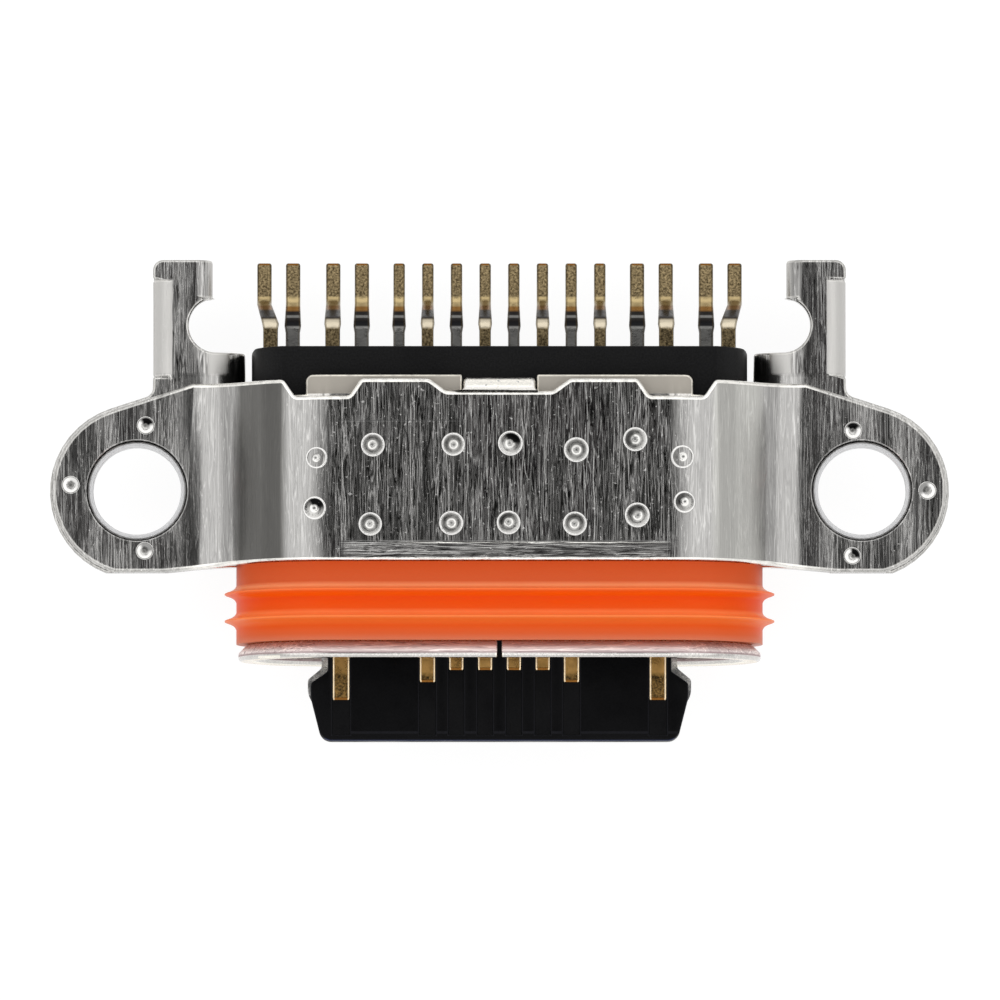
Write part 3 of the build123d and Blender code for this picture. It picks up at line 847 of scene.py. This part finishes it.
@dataclass(frozen=True)
class Silicone(Moulding):
    """Orange silicone, with painted shade deepening the grooves and painted highlights paling the ribs'
    flanks and crests.
    """

    # The seal's orange along the ring, with painted shade in the grooves and painted highlights on the
    # ribs' rear flanks.
    tones: tuple[tuple[float, Colour], ...] = (
        (-2.67, (0.58, 0.165, 0.085)), (-2.56, (0.62, 0.105, 0.030)), (-2.42, (0.72, 0.085, 0.006)),
        (-2.26, (0.88, 0.185, 0.034)), (-2.19, (0.94, 0.240, 0.072)), (-2.12, (0.78, 0.090, 0.004)),
        (-1.93, (0.78, 0.066, 0.0)), (-1.87, (0.85, 0.110, 0.003)), (-1.79, (0.84, 0.130, 0.020)),
        (-1.73, (0.93, 0.290, 0.120)), (-1.65, (0.60, 0.095, 0.025)), (-1.31, (0.52, 0.062, 0.010)),
    )
    glint: Colour = (0.98, 0.46, 0.24)
    crest_mm: Range = (1.83, 1.88)
    crest_glint: float = 0.12
    clouds: float = 0.12

    def pattern(self, coat: Coat) -> None:
        """Wires the colour along the ring with its painted light and shade, and the painted crest highlight
        by the distance from its racetrack axis.

        Args:
            coat: Material to wire.
        """
        super().pattern(coat)
        x, y, z = coat.axes()
        past = coat.most(coat.maths("SUBTRACT", coat.maths("ABSOLUTE", x), END_CENTRE_MM), 0.0)
        # Painted highlight along the ribs' crests.
        crest_highlight = coat.level(coat.reach(past, z), *self.crest_mm, 0.0, self.crest_glint)
        first, last = self.tones[0][0], self.tones[-1][0]
        stops = [((at - first) / (last - first), tone) for at, tone in self.tones]
        along = coat.ramp(coat.level(y, first, last), stops)
        spots = coat.effect("mottle", Patch_Density=self.patch_density, Speck_Density=self.speck_density)
        clouded = coat.blend(coat.times(spots["Patch"], self.clouds), along, self.pale)
        coat.join(coat.blend(crest_highlight, clouded, self.glint), coat.shader.inputs["Base Color"])


@dataclass(frozen=True)
class WeldMetal(Finish):
    """Remelted metal of a laser weld: bright rim, dull dish, bright core with a dark pit, and a painted
    shade crescent with a painted gleam in the dish.
    """

    metallic: float = 1.0
    rim: Colour = (0.80, 0.79, 0.77)
    dish: Colour = (0.15, 0.147, 0.140)
    core: Colour = (0.80, 0.79, 0.76)
    pit: Colour = (0.10, 0.10, 0.10)
    # Painted shade of the crescent on one side of the dish.
    dish_shade: Colour = (0.006, 0.006, 0.006)
    clouds: float = 0.25
    smooth: float = 0.18
    rough: float = 0.36

    def pattern(self, coat: Coat) -> None:
        """Wires the rings by the zone that the mesh carries, and the painted shade and gleam that the mesh
        also marks.

        Args:
            coat: Material to wire.
        """
        spots = coat.effect("mottle", Patch_Density=7000.0, Speck_Density=24000.0)
        rings = coat.ramp(coat.mark("zone"), (
            (0.0, self.dish), (0.12, self.rim), (0.32, self.rim), (0.45, self.dish),
            (0.68, self.dish), (0.80, self.core), (0.92, self.core), (1.0, self.pit),
        ))
        clouded = coat.blend(coat.times(spots["Patch"], self.clouds), rings, self.core)
        # Painted shade crescent where the mark is positive, and a painted gleam of the core's colour where
        # it is negative.
        shade_and_gleam = coat.mark("shade_and_gleam")
        lit = coat.blend(coat.times(shade_and_gleam, -1.0), clouded, self.core)
        coat.paint(coat.blend(shade_and_gleam, lit, self.dish_shade),
                   coat.level(spots["Patch"], 0.0, 1.0, self.smooth, self.rough))
        coat.relief(spots["Speck"], depth_mm=0.003, strength=0.6)


BRACKET_STEEL = SheetSteel("bracket_steel")
SHELL_STEEL = DrawnSteel("shell_steel")
PLATE_STEEL = DrawnSteel("plate_steel", dark=(0.60, 0.59, 0.58), pale=(0.90, 0.89, 0.87),
                         rough=0.40, lip_mm=(-9.0, -8.9, -8.8, -8.7))
GOLD = LeadPlating("gold_plate")
BLACK = BlackMoulding("black_moulding")
DARK_GREY = Moulding("dark_grey_moulding", dark=(0.0022, 0.0022, 0.0026), pale=(0.0050, 0.0050, 0.0056),
                     specular=0.07)
ORANGE = Silicone("orange_silicone", dark=(0.52, 0.065, 0.006), pale=(0.60, 0.085, 0.012),
                  edge=(0.90, 0.24, 0.09), specular=0.08, smooth=0.30, rough=0.44,
                  patch_density=900.0, softness=0.08)
WELD = WeldMetal("weld_metal")


@contextmanager
def editing(action: str = "SELECT") -> Iterator[None]:
    """Enters edit mode for some steps, and leaves it after them.

    Args:
        action: What is selected first: SELECT for everything, DESELECT for nothing.
    """
    bpy.ops.object.mode_set(mode="EDIT")
    bpy.ops.mesh.select_all(action=action)
    yield
    bpy.ops.object.mode_set(mode="OBJECT")


def start(name: str, add: Callable, **settings) -> bpy.types.Object:
    """Starts a piece from a primitive.

    Args:
        name: Name of the piece.
        add: Operator that adds the primitive.
        **settings: Its settings.

    Returns:
        The piece, which alone is selected.
    """
    bpy.ops.object.select_all(action="DESELECT")
    add(**settings)
    piece = bpy.context.active_object
    piece.name = piece.data.name = name
    return piece


def copy_of(source: bpy.types.Object, name: str) -> bpy.types.Object:
    """Copies an object with its own mesh.

    Args:
        source: Object to copy.
        name: Name of the copy.

    Returns:
        The copy.
    """
    piece = source.copy()
    piece.data = source.data.copy()
    piece.name = piece.data.name = name
    bpy.context.collection.objects.link(piece)
    return piece


def mark(piece: bpy.types.Object, name: str, domain: str, values: list[float]) -> None:
    """Gives a piece's mesh an attribute that its finish reads.

    Args:
        piece: The piece.
        name: Name of the attribute.
        domain: What carries it: POINT, EDGE or FACE.
        values: Its values, in the mesh's order.
    """
    piece.data.attributes.new(name, "FLOAT", domain).data.foreach_set("value", values)


def pick(piece: bpy.types.Object) -> None:
    """Makes a piece the only selected one, and the active one.

    Args:
        piece: The piece.
    """
    bpy.ops.object.select_all(action="DESELECT")
    piece.select_set(True)
    bpy.context.view_layer.objects.active = piece


def apply_modifier(piece: bpy.types.Object, kind: str, **settings) -> None:
    """Adds a modifier to the picked piece and applies it.

    Args:
        piece: The picked piece.
        kind: Blender's identifier of the modifier.
        **settings: Settings of the modifier.
    """
    modifier = piece.modifiers.new(kind.lower(), kind)
    for name, value in settings.items():
        setattr(modifier, name, value)
    bpy.ops.object.modifier_apply(modifier=modifier.name)


def hand_over(piece: bpy.types.Object, slot: str, *nodes: str) -> None:
    """Fastens a finished piece to the connector, hides the nodes that it stands for and logs its faces.

    Args:
        piece: Finished piece.
        slot: Material slot that its finish comes from; not used.
        *nodes: Nodes that it stands for.
    """
    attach(piece, BODY)
    if nodes:
        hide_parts(*nodes)
    log.info("%s: %d faces", piece.name, len(piece.data.polygons))


@dataclass(frozen=True)
class Rounding:
    """Copies a node with its sharp edges rounded, as stamped or moulded edges are."""

    width_mm: float
    segments: int = 2
    sharp_degrees: float = 32.0
    flat_degrees: float = 0.6
    smooth_degrees: float = 40.0
    fine_share: float = 0.34
    finer: Callable[[Vector], bool] = lambda at: False
    merge_mm: float = 0.025
    sliver_mm: float = 0.001
    seam_mm: float = 0.0005
    stray_share: float = 0.4

    def apply(self, node: str, name: str, material: bpy.types.Material) -> bpy.types.Object:
        """Makes the copy. The new faces along its edges carry the mark "edge".

        Args:
            node: Node to copy.
            name: Name of the new piece.
            material: Finish of the piece.

        Returns:
            The new piece.
        """
        piece = copy_of(frame["nodes"][node], name)
        for key in list(piece.keys()):
            del piece[key]
        pick(piece)
        bpy.ops.mesh.customdata_custom_splitnormals_clear()
        with editing():
            bpy.ops.mesh.remove_doubles(threshold=self.merge_mm * MM)
            bpy.ops.mesh.dissolve_degenerate(threshold=self.sliver_mm * MM)
            bpy.ops.mesh.dissolve_limited(angle_limit=math.radians(self.flat_degrees))
        piece.data.materials.clear()
        for _ in ("faces", "edges"):
            piece.data.materials.append(material)
        self.weigh_edges(piece)
        apply_modifier(piece, "BEVEL", width=self.width_mm * MM, segments=self.segments, material=1,
                       limit_method="WEIGHT", use_clamp_overlap=False, loop_slide=False)
        self.pull_back(piece, node)
        mark(piece, "edge", "FACE", [face.material_index for face in piece.data.polygons])
        piece.data.polygons.foreach_set("material_index", [0] * len(piece.data.polygons))
        piece.data.materials.pop(index=1)
        with editing():
            bpy.ops.mesh.remove_doubles(threshold=self.seam_mm * MM)
        bpy.ops.object.shade_smooth_by_angle(angle=math.radians(self.smooth_degrees))
        apply_modifier(piece, "WEIGHTED_NORMAL", keep_sharp=True)
        apply_modifier(piece, "TRIANGULATE", keep_custom_normals=True, min_vertices=5)
        return piece

    def weigh_edges(self, piece: bpy.types.Object) -> None:
        """Gives each sharp edge its share of the rounding.

        Args:
            piece: Piece in object mode.
        """
        with editing("DESELECT"):
            bpy.ops.mesh.select_mode(type="EDGE")
            bpy.ops.mesh.edges_select_sharp(sharpness=math.radians(self.sharp_degrees))
        shares = []
        for edge in piece.data.edges:
            here, there = (piece.data.vertices[end].co for end in edge.vertices)
            share = self.fine_share if self.finer((here + there) / 2) else 1.0
            shares.append(share if edge.select else 0.0)
        mark(piece, "bevel_weight_edge", "EDGE", shares)
        with editing("DESELECT"):
            bpy.ops.mesh.select_mode(type="VERT")

    def pull_back(self, piece: bpy.types.Object, node: str) -> None:
        """Gathers corners that a rounding threw off the node's surface into a sound neighbour.

        Args:
            piece: Rounded copy of the node.
            node: The node.
        """
        source = frame["nodes"][node].data
        surface = BVHTree.FromPolygons([vertex.co for vertex in source.vertices],
                                       [face.vertices for face in source.polygons])
        corners = piece.data.vertices
        farthest = self.stray_share * self.width_mm * MM
        stray = {corner.index for corner in corners if surface.find_nearest(corner.co)[3] > farthest}
        while stray:
            sound = {}
            for edge in piece.data.edges:
                for here, there in (edge.vertices, reversed(edge.vertices)):
                    if here in stray and there not in stray:
                        sound.setdefault(here, there)
            if not sound:
                break
            for here, there in sound.items():
                corners[here].co = corners[there].co
            stray -= sound.keys()


@dataclass
class ClampingSheets:
    """The two bent sheets that clamp the shell from above and from below."""

    edges_mm: dict[str, float] = field(default_factory=lambda: {"upper": 0.068, "lower": 0.045})
    segments: int = 3
    hole_reach: float = 0.90

    def build(self, effects: EffectGroups) -> None:
        """Builds both sheets with rounded shear edges.

        Args:
            effects: Shared effect groups.
        """
        steel = BRACKET_STEEL.material(effects)
        for side, width in self.edges_mm.items():
            node = f"{side}_bracket"
            sheet = Rounding(width, self.segments, finer=self.at_hole).apply(node, f"{node}_sheet", steel)
            hand_over(sheet, "bracket_steel", node)

    def at_hole(self, at: Vector) -> bool:
        """Tells if a point in metres lies on the edge of a screw hole or its collar."""
        return math.hypot(abs(at.x) - HOLE_MM * MM, at.y) < self.hole_reach * MM


@dataclass
class PlugShell:
    """The drawn shell with its flared lip and rear flaps."""

    edge_mm: float = 0.03

    def build(self, effects: EffectGroups) -> None:
        """Builds the shell with rounded edges.

        Args:
            effects: Shared effect groups.
        """
        shell = Rounding(self.edge_mm).apply("shell", "shell_drawn", SHELL_STEEL.material(effects))
        hand_over(shell, "shell_steel", "shell")


@dataclass
class SealRing:
    """The silicone ring: a flat band with two sharp ribs, swept round the racetrack."""

    inner: float = 1.43
    body: float = 1.685
    front: float = -2.67
    rear: float = -1.31
    rib_middle: float = -2.035
    rib_pitch: float = 0.47
    rib_side: tuple[tuple[float, float], ...] = (
        (0.15, 0.0), (0.105, 0.022), (0.072, 0.060), (0.045, 0.112), (0.022, 0.180), (0.010, 0.204),
    )
    end_steps: int = 36
    smooth_degrees: float = 42.0
    same_place: float = 1e-7
    merge_reach: float = 1e-6

    def section(self) -> list[Vector]:
        """The ring's section at the right end.

        Returns:
            Its corners in metres, from the inner front one round.
        """
        corners = [(self.front, self.inner), (self.front, self.body)]
        outline = [(-y, rise) for y, rise in self.rib_side] + [*reversed(self.rib_side)]
        for rib in (-0.5, 0.5):
            centre = self.rib_middle + rib * self.rib_pitch
            corners += [(centre + y, self.body + rise) for y, rise in outline]
        corners += [(self.rear, self.body), (self.rear, self.inner)]
        return [point(END_CENTRE_MM, y, reach) for y, reach in corners]

    def draw(self, piece: bpy.types.Object) -> None:
        """Draws the section corner by corner, as a closed wire.

        Args:
            piece: Piece in edit mode, with all of its mesh selected.
        """
        corners = self.section()
        bpy.ops.mesh.merge(type="CENTER")
        bpy.ops.transform.translate(value=corners[0])
        for before, after in zip(corners, corners[1:]):
            bpy.ops.mesh.extrude_region_move(TRANSFORM_OT_translate={"value": after - before})
        bpy.ops.mesh.select_all(action="DESELECT")
        bpy.ops.object.mode_set(mode="OBJECT")
        for vertex in piece.data.vertices:
            vertex.select = any((vertex.co - corners[end]).length < self.same_place for end in (0, -1))
        bpy.ops.object.mode_set(mode="EDIT")
        bpy.ops.mesh.edge_face_add()
        bpy.ops.mesh.select_all(action="SELECT")

    def build(self, effects: EffectGroups) -> None:
        """Sweeps the section round both ends and along both runs.

        Args:
            effects: Shared effect groups.
        """
        piece = start("seal_ring_ribbed", bpy.ops.mesh.primitive_plane_add, size=MM)
        run = Vector((-2 * END_CENTRE_MM, 0, 0)) * MM
        with editing():
            self.draw(piece)
            for side, step in ((1, run), (-1, -run)):
                bpy.ops.mesh.spin(steps=self.end_steps, angle=-math.pi,
                                  center=point(side * END_CENTRE_MM, 0, 0), axis=(0, 1, 0))
                bpy.ops.mesh.extrude_region_move(TRANSFORM_OT_translate={"value": step})
            bpy.ops.mesh.select_all(action="SELECT")
            bpy.ops.mesh.remove_doubles(threshold=self.merge_reach)
            bpy.ops.mesh.normals_make_consistent(inside=False)
        piece.data.materials.append(ORANGE.material(effects))
        pick(piece)
        bpy.ops.object.shade_smooth_by_angle(angle=math.radians(self.smooth_degrees))
        hand_over(piece, "seal_silicone", "seal_ring")


@dataclass
class Insulator:
    """The black moulding, the two dark grey carriers in it and the metal between them."""

    edge_mm: float = 0.025
    metal: tuple[str, ...] = ("stiffening_plate", "upper_ground_pad", "lower_ground_pad")
    carriers: tuple[str, ...] = ("upper_contact_carrier", "lower_contact_carrier")

    def build(self, effects: EffectGroups) -> None:
        """Builds the moulding with rounded edges and dresses what it holds.

        Args:
            effects: Shared effect groups.
        """
        body = Rounding(self.edge_mm).apply("insulator", "insulator_moulding", BLACK.material(effects))
        hand_over(body, "insulator_plastic", "insulator")
        for nodes, finish in ((self.metal, PLATE_STEEL), (self.carriers, DARK_GREY)):
            material = finish.material(effects)
            for node in nodes:
                frame["nodes"][node].data.materials[0] = material
                log.info("%s takes %s", node, finish.name)


@dataclass
class LeadFrame:
    """The sixteen leads, with rounded edges that catch the light."""

    edge_mm: float = 0.036
    rows: tuple[str, ...] = ("upper", "lower")
    leads: int = 8
    most_sideways: float = 0.2
    least_lengthways: float = 0.05

    def build(self, effects: EffectGroups) -> None:
        """Builds every lead.

        Args:
            effects: Shared effect groups.
        """
        plating = GOLD.material(effects)
        for row in self.rows:
            for number in range(1, self.leads + 1):
                node = f"{row}_contact_{number}"
                lead = Rounding(self.edge_mm).apply(node, f"{node}_plated", plating)
                self.mark_ends(lead)
                hand_over(lead, "contact_gold", node)

    def mark_ends(self, lead: bpy.types.Object) -> None:
        """Marks the rounded faces across a lead's two ends as "end".

        Args:
            lead: The lead.
        """
        rounded = [edge.value for edge in lead.data.attributes["edge"].data]
        across = [abs(face.normal.x) < self.most_sideways and abs(face.normal.y) > self.least_lengthways
                  for face in lead.data.polygons]
        mark(lead, "end", "FACE", [value * end for value, end in zip(rounded, across)])


@dataclass(frozen=True)
class WeldKind:
    """Weld spots of one form and size, the same on both faces of the connector.

    Each ring has its reach and height on a spot of radius 1 mm, and its zone, from 0 at the rim
    to 1 in the core. The spots' places and the other sizes are in millimetres and degrees.
    """

    name: str
    radius: float
    top: float
    lean: float
    rings: tuple[tuple[float, float, float], ...]
    spots: tuple[tuple[float, float], ...]

    def zone_at(self, reach: float) -> float:
        """Zone of the ring that is nearest to a distance from the centre."""
        return min(((1.0, 0.0, 0.0), *self.rings), key=lambda ring: abs(ring[0] - reach))[2]


PLATE_RINGS = (
    (0.94, 0.035, 0.14), (0.86, 0.045, 0.30), (0.78, 0.006, 0.50), (0.60, 0.0, 0.58),
    (0.44, 0.008, 0.66), (0.34, 0.050, 0.82), (0.17, 0.075, 0.92), (0.06, 0.045, 1.0),
)
EAR_RINGS = (
    (0.92, 0.010, 0.55), (0.80, 0.045, 0.28), (0.62, 0.105, 0.24), (0.44, 0.160, 0.28),
    (0.30, 0.120, 0.50), (0.16, 0.090, 0.60), (0.06, 0.085, 0.60),
)


@dataclass
class LaserWelds:
    """Laser weld spots on the shell's top and bottom and on the ears."""

    sides: int = 28
    kinds: tuple[WeldKind, ...] = (
        WeldKind("top", 0.21, 1.685, 0.0, PLATE_RINGS, (
            (-2.19, 0.706), (-0.80, 0.714), (0.19, 0.732), (1.33, 0.619), (2.348, 0.801),
            (-2.235, -0.668), (-0.835, -0.651), (0.157, -0.642), (1.304, -0.66), (2.383, -0.512),
        )),
        WeldKind("shoulder", 0.20, 1.655, 10.0, PLATE_RINGS, (
            (-3.165, 0.482), (3.165, 0.499), (-3.20, -0.388), (3.20, -0.284),
        )),
        WeldKind("ear", 0.155, 0.25, 0.0, EAR_RINGS, (
            (-6.148, 1.133), (-7.452, 0.098), (-6.165, -1.05),
            (6.148, 1.046), (7.435, -0.001), (6.13, -1.137),
        )),
    )
    core_reach: float = 0.40
    core_drift: float = 0.08
    dish: Range = (0.30, 0.82)
    # Strengths, spread, rise and start of the painted shade crescent; gleam sets the painted gleam across
    # from it.
    shade_strengths: tuple[float, ...] = (0.2, 0.45, 0.7, 1.0)
    shade_spread: float = 0.7
    shade_rise: float = 2.2
    shade_start: float = 0.4
    gleam: float = 0.7
    gleam_start: float = 0.1
    size_spread: Range = (0.96, 1.04)
    seed: int = 7
    chance: random.Random = field(default_factory=random.Random)

    def model(self, kind: WeldKind) -> bpy.types.Object:
        """Models one weld of radius 1 mm, lying flat at the origin.

        Args:
            kind: Kind of weld.

        Returns:
            The spot, with its zones marked.
        """
        spot = start(f"{kind.name}_spot", bpy.ops.mesh.primitive_circle_add, vertices=self.sides,
                     radius=MM, fill_type="NGON")
        reach, height = 1.0, 0.0
        with editing():
            for radius, rise, _ in kind.rings:
                bpy.ops.mesh.inset(thickness=(reach - radius) * math.cos(math.pi / self.sides) * MM)
                bpy.ops.transform.translate(value=(0, 0, (rise - height) * MM))
                reach, height = radius, rise
        zones = [kind.zone_at(vertex.co.xy.length / MM) for vertex in spot.data.vertices]
        mark(spot, "zone", "POINT", zones)
        bpy.ops.object.shade_smooth()
        return spot

    def shade_and_gleam(self, spot: bpy.types.Object) -> None:
        """Paints a crescent of shade on one side of a spot's dish and a gleam on the other, and moves its
        core a little.

        Args:
            spot: A copy of the spot that is still of radius 1 mm at the origin.
        """
        towards = self.chance.gauss(math.pi / 2, self.shade_spread)
        strength = self.chance.choice(self.shade_strengths)
        drift = [self.chance.uniform(-self.core_drift, self.core_drift) for _ in "xy"]
        values = []
        for vertex in spot.data.vertices:
            reach = vertex.co.xy.length / MM
            facing = math.cos(math.atan2(vertex.co.y, vertex.co.x) - towards)
            # Painted shade on the side the crescent faces, painted gleam on the far side.
            dish_shade = min(1.0, max(0.0, facing * self.shade_rise - self.shade_start))
            shade = strength * (dish_shade - self.gleam * max(0.0, -facing - self.gleam_start))
            values.append(shade if self.dish[0] < reach < self.dish[1] else 0.0)
            if reach < self.core_reach:
                vertex.co += point(*drift, 0)
        mark(spot, "shade_and_gleam", "POINT", values)

    def build(self, effects: EffectGroups) -> None:
        """Places the welds on both faces.

        Args:
            effects: Shared effect groups.
        """
        self.chance.seed(self.seed)
        masters = {kind: self.model(kind) for kind in self.kinds}
        metal = WELD.material(effects)
        for master in masters.values():
            master.data.materials.append(metal)
        for face in Face:
            for kind, master in masters.items():
                for number, (x, y) in enumerate(kind.spots, 1):
                    spot = copy_of(master, f"weld_{kind.name}_{face.name.lower()}_{number}")
                    self.shade_and_gleam(spot)
                    size = kind.radius * self.chance.uniform(*self.size_spread)
                    flip = Matrix.Rotation(0.0 if face is Face.TOP else math.pi, 4, "X")
                    lean = math.radians(math.copysign(kind.lean, x) * face.value)
                    tilted = Matrix.Rotation(lean, 4, "Y") @ flip @ Matrix.Scale(size, 4)
                    spot.data.transform(Matrix.Translation(point(x, y, face.value * kind.top)) @ tilted)
                    hand_over(spot, "bracket_steel")
        for master in masters.values():
            bpy.data.objects.remove(master)


@dataclass
class Studio:
    """Camera, pale floor and the soft light round the object."""

    pixels_per_mm: float = 57.5
    frame_pixels: float = 1000.0
    centre_x: float = 0.009
    centre_rise: float = -0.15
    tilt: float = 3.5
    distance_mm: float = 300.0
    sensor_mm: float = 36.0
    clip_factors: Range = (0.1, 10.0)
    floor_half_mm: float = 40.0
    floor_bounce: float = 0.86
    floor_tone: float = 0.16
    floor_glow: float = 0.89
    zenith: float = 0.12
    ring: float = 1.36
    horizon: float = 0.85
    tent_degrees: tuple[float, float, float, float] = (11.0, 18.0, 58.0, 68.0)

    def build(self) -> None:
        """Builds the whole studio."""
        self.add_camera()
        self.add_floor()
        self.add_world()
        bpy.context.scene.view_settings.view_transform = "Standard"

    def add_camera(self) -> None:
        """Camera above the connector, leaning a few degrees to the plug side."""
        data = bpy.data.cameras.new("camera")
        width = self.frame_pixels / self.pixels_per_mm
        data.sensor_width = self.sensor_mm
        data.lens = self.sensor_mm * self.distance_mm / width
        data.clip_start, data.clip_end = (self.distance_mm * MM * factor for factor in self.clip_factors)
        camera = bpy.data.objects.new("camera", data)
        bpy.context.collection.objects.link(camera)
        lean = math.radians(self.tilt)
        back = Vector((0, -math.sin(lean), math.cos(lean)))
        camera.location = point(self.centre_x, self.centre_rise, 0) + back * self.distance_mm * MM
        camera.rotation_euler = (lean, 0, 0)
        bpy.context.scene.camera = camera

    def add_floor(self) -> None:
        """White paper that the connector lies on, clear from below."""
        floor = start("floor", bpy.ops.mesh.primitive_plane_add, size=2 * self.floor_half_mm * MM,
                      location=(0, 0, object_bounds()[0].z))
        floor.data.materials.append(self.paper())
        floor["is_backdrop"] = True

    def paper(self) -> bpy.types.Material:
        """White paper that shows white and keeps a faint shadow.

        Returns:
            The floor's material.
        """
        made = bpy.data.materials.new("paper")
        made.use_nodes = True
        made.node_tree.nodes.clear()
        wiring = Wiring(made.node_tree)
        seen = self.seen_directly(wiring, glossy=True)
        matte, faint = (
            wiring.add("ShaderNodeBsdfDiffuse", {"Color": (tone, tone, tone, 1)}).outputs[0]
            for tone in (self.floor_bounce, self.floor_tone)
        )
        glow = wiring.add("ShaderNodeEmission", {"Strength": self.floor_glow}).outputs[0]
        shown = wiring.add("ShaderNodeAddShader", {0: faint, 1: glow}).outputs[0]
        front = wiring.add("ShaderNodeMixShader", {0: seen, 1: matte, 2: shown}).outputs[0]
        clear = wiring.add("ShaderNodeBsdfTransparent").outputs[0]
        side = wiring.add("ShaderNodeNewGeometry").outputs["Backfacing"]
        both = wiring.add("ShaderNodeMixShader", {0: side, 1: front, 2: clear}).outputs[0]
        wiring.add("ShaderNodeOutputMaterial", {"Surface": both})
        return made

    @staticmethod
    def seen_directly(wiring: Wiring, glossy: bool) -> Socket:
        """Tells rays that show the background from rays that only light the object.

        Args:
            wiring: Tree to work in.
            glossy: Whether reflections count as showing the background.

        Returns:
            A socket that is 1 where the background shows.
        """
        path = wiring.add("ShaderNodeLightPath").outputs
        seen = wiring.most(path["Is Camera Ray"], path["Is Transmission Ray"])
        return wiring.most(seen, path["Is Glossy Ray"]) if glossy else seen

    def add_world(self) -> None:
        """Light tent: a dim top where the camera looks in, a bright ring, dim walls."""
        world = bpy.data.worlds.new("light_tent")
        world.use_nodes = True
        world.node_tree.nodes.clear()
        bpy.context.scene.world = world
        wiring = Wiring(world.node_tree)
        direction = wiring.add("ShaderNodeTexCoord").outputs["Generated"]
        height = wiring.add("ShaderNodeSeparateXYZ", {0: direction}).outputs["Z"]
        top_end, ring_top, ring_low, wall_top = (
            math.cos(math.radians(angle)) for angle in self.tent_degrees
        )
        steps = (
            (0.0, self.horizon), (wall_top, self.horizon), (ring_low, self.ring),
            (ring_top, self.ring), (top_end, self.zenith), (1.0, self.zenith),
        )
        brightest = max(self.zenith, self.ring, self.horizon)
        stops = [(place, (value / brightest,) * 3) for place, value in steps]
        tent, white = (
            wiring.add("ShaderNodeBackground", {"Color": colour, "Strength": strength}).outputs[0]
            for colour, strength in ((wiring.ramp(height, stops), brightest), ((1, 1, 1, 1), 1.0))
        )
        seen = self.seen_directly(wiring, glossy=False)
        mixed = wiring.add("ShaderNodeMixShader", {0: seen, 1: tent, 2: white}).outputs[0]
        wiring.add("ShaderNodeOutputWorld", {"Surface": mixed})


def main() -> None:
    """Builds the studio and every piece, and logs the faces of each piece."""
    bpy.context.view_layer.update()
    effects = EffectGroups()
    Studio().build()
    for assembly in (ClampingSheets(), PlugShell(), SealRing(), Insulator(), LeadFrame(), LaserWelds()):
        log.info("building %s", type(assembly).__name__)
        assembly.build(effects)


if __name__ == "__main__":
    main()
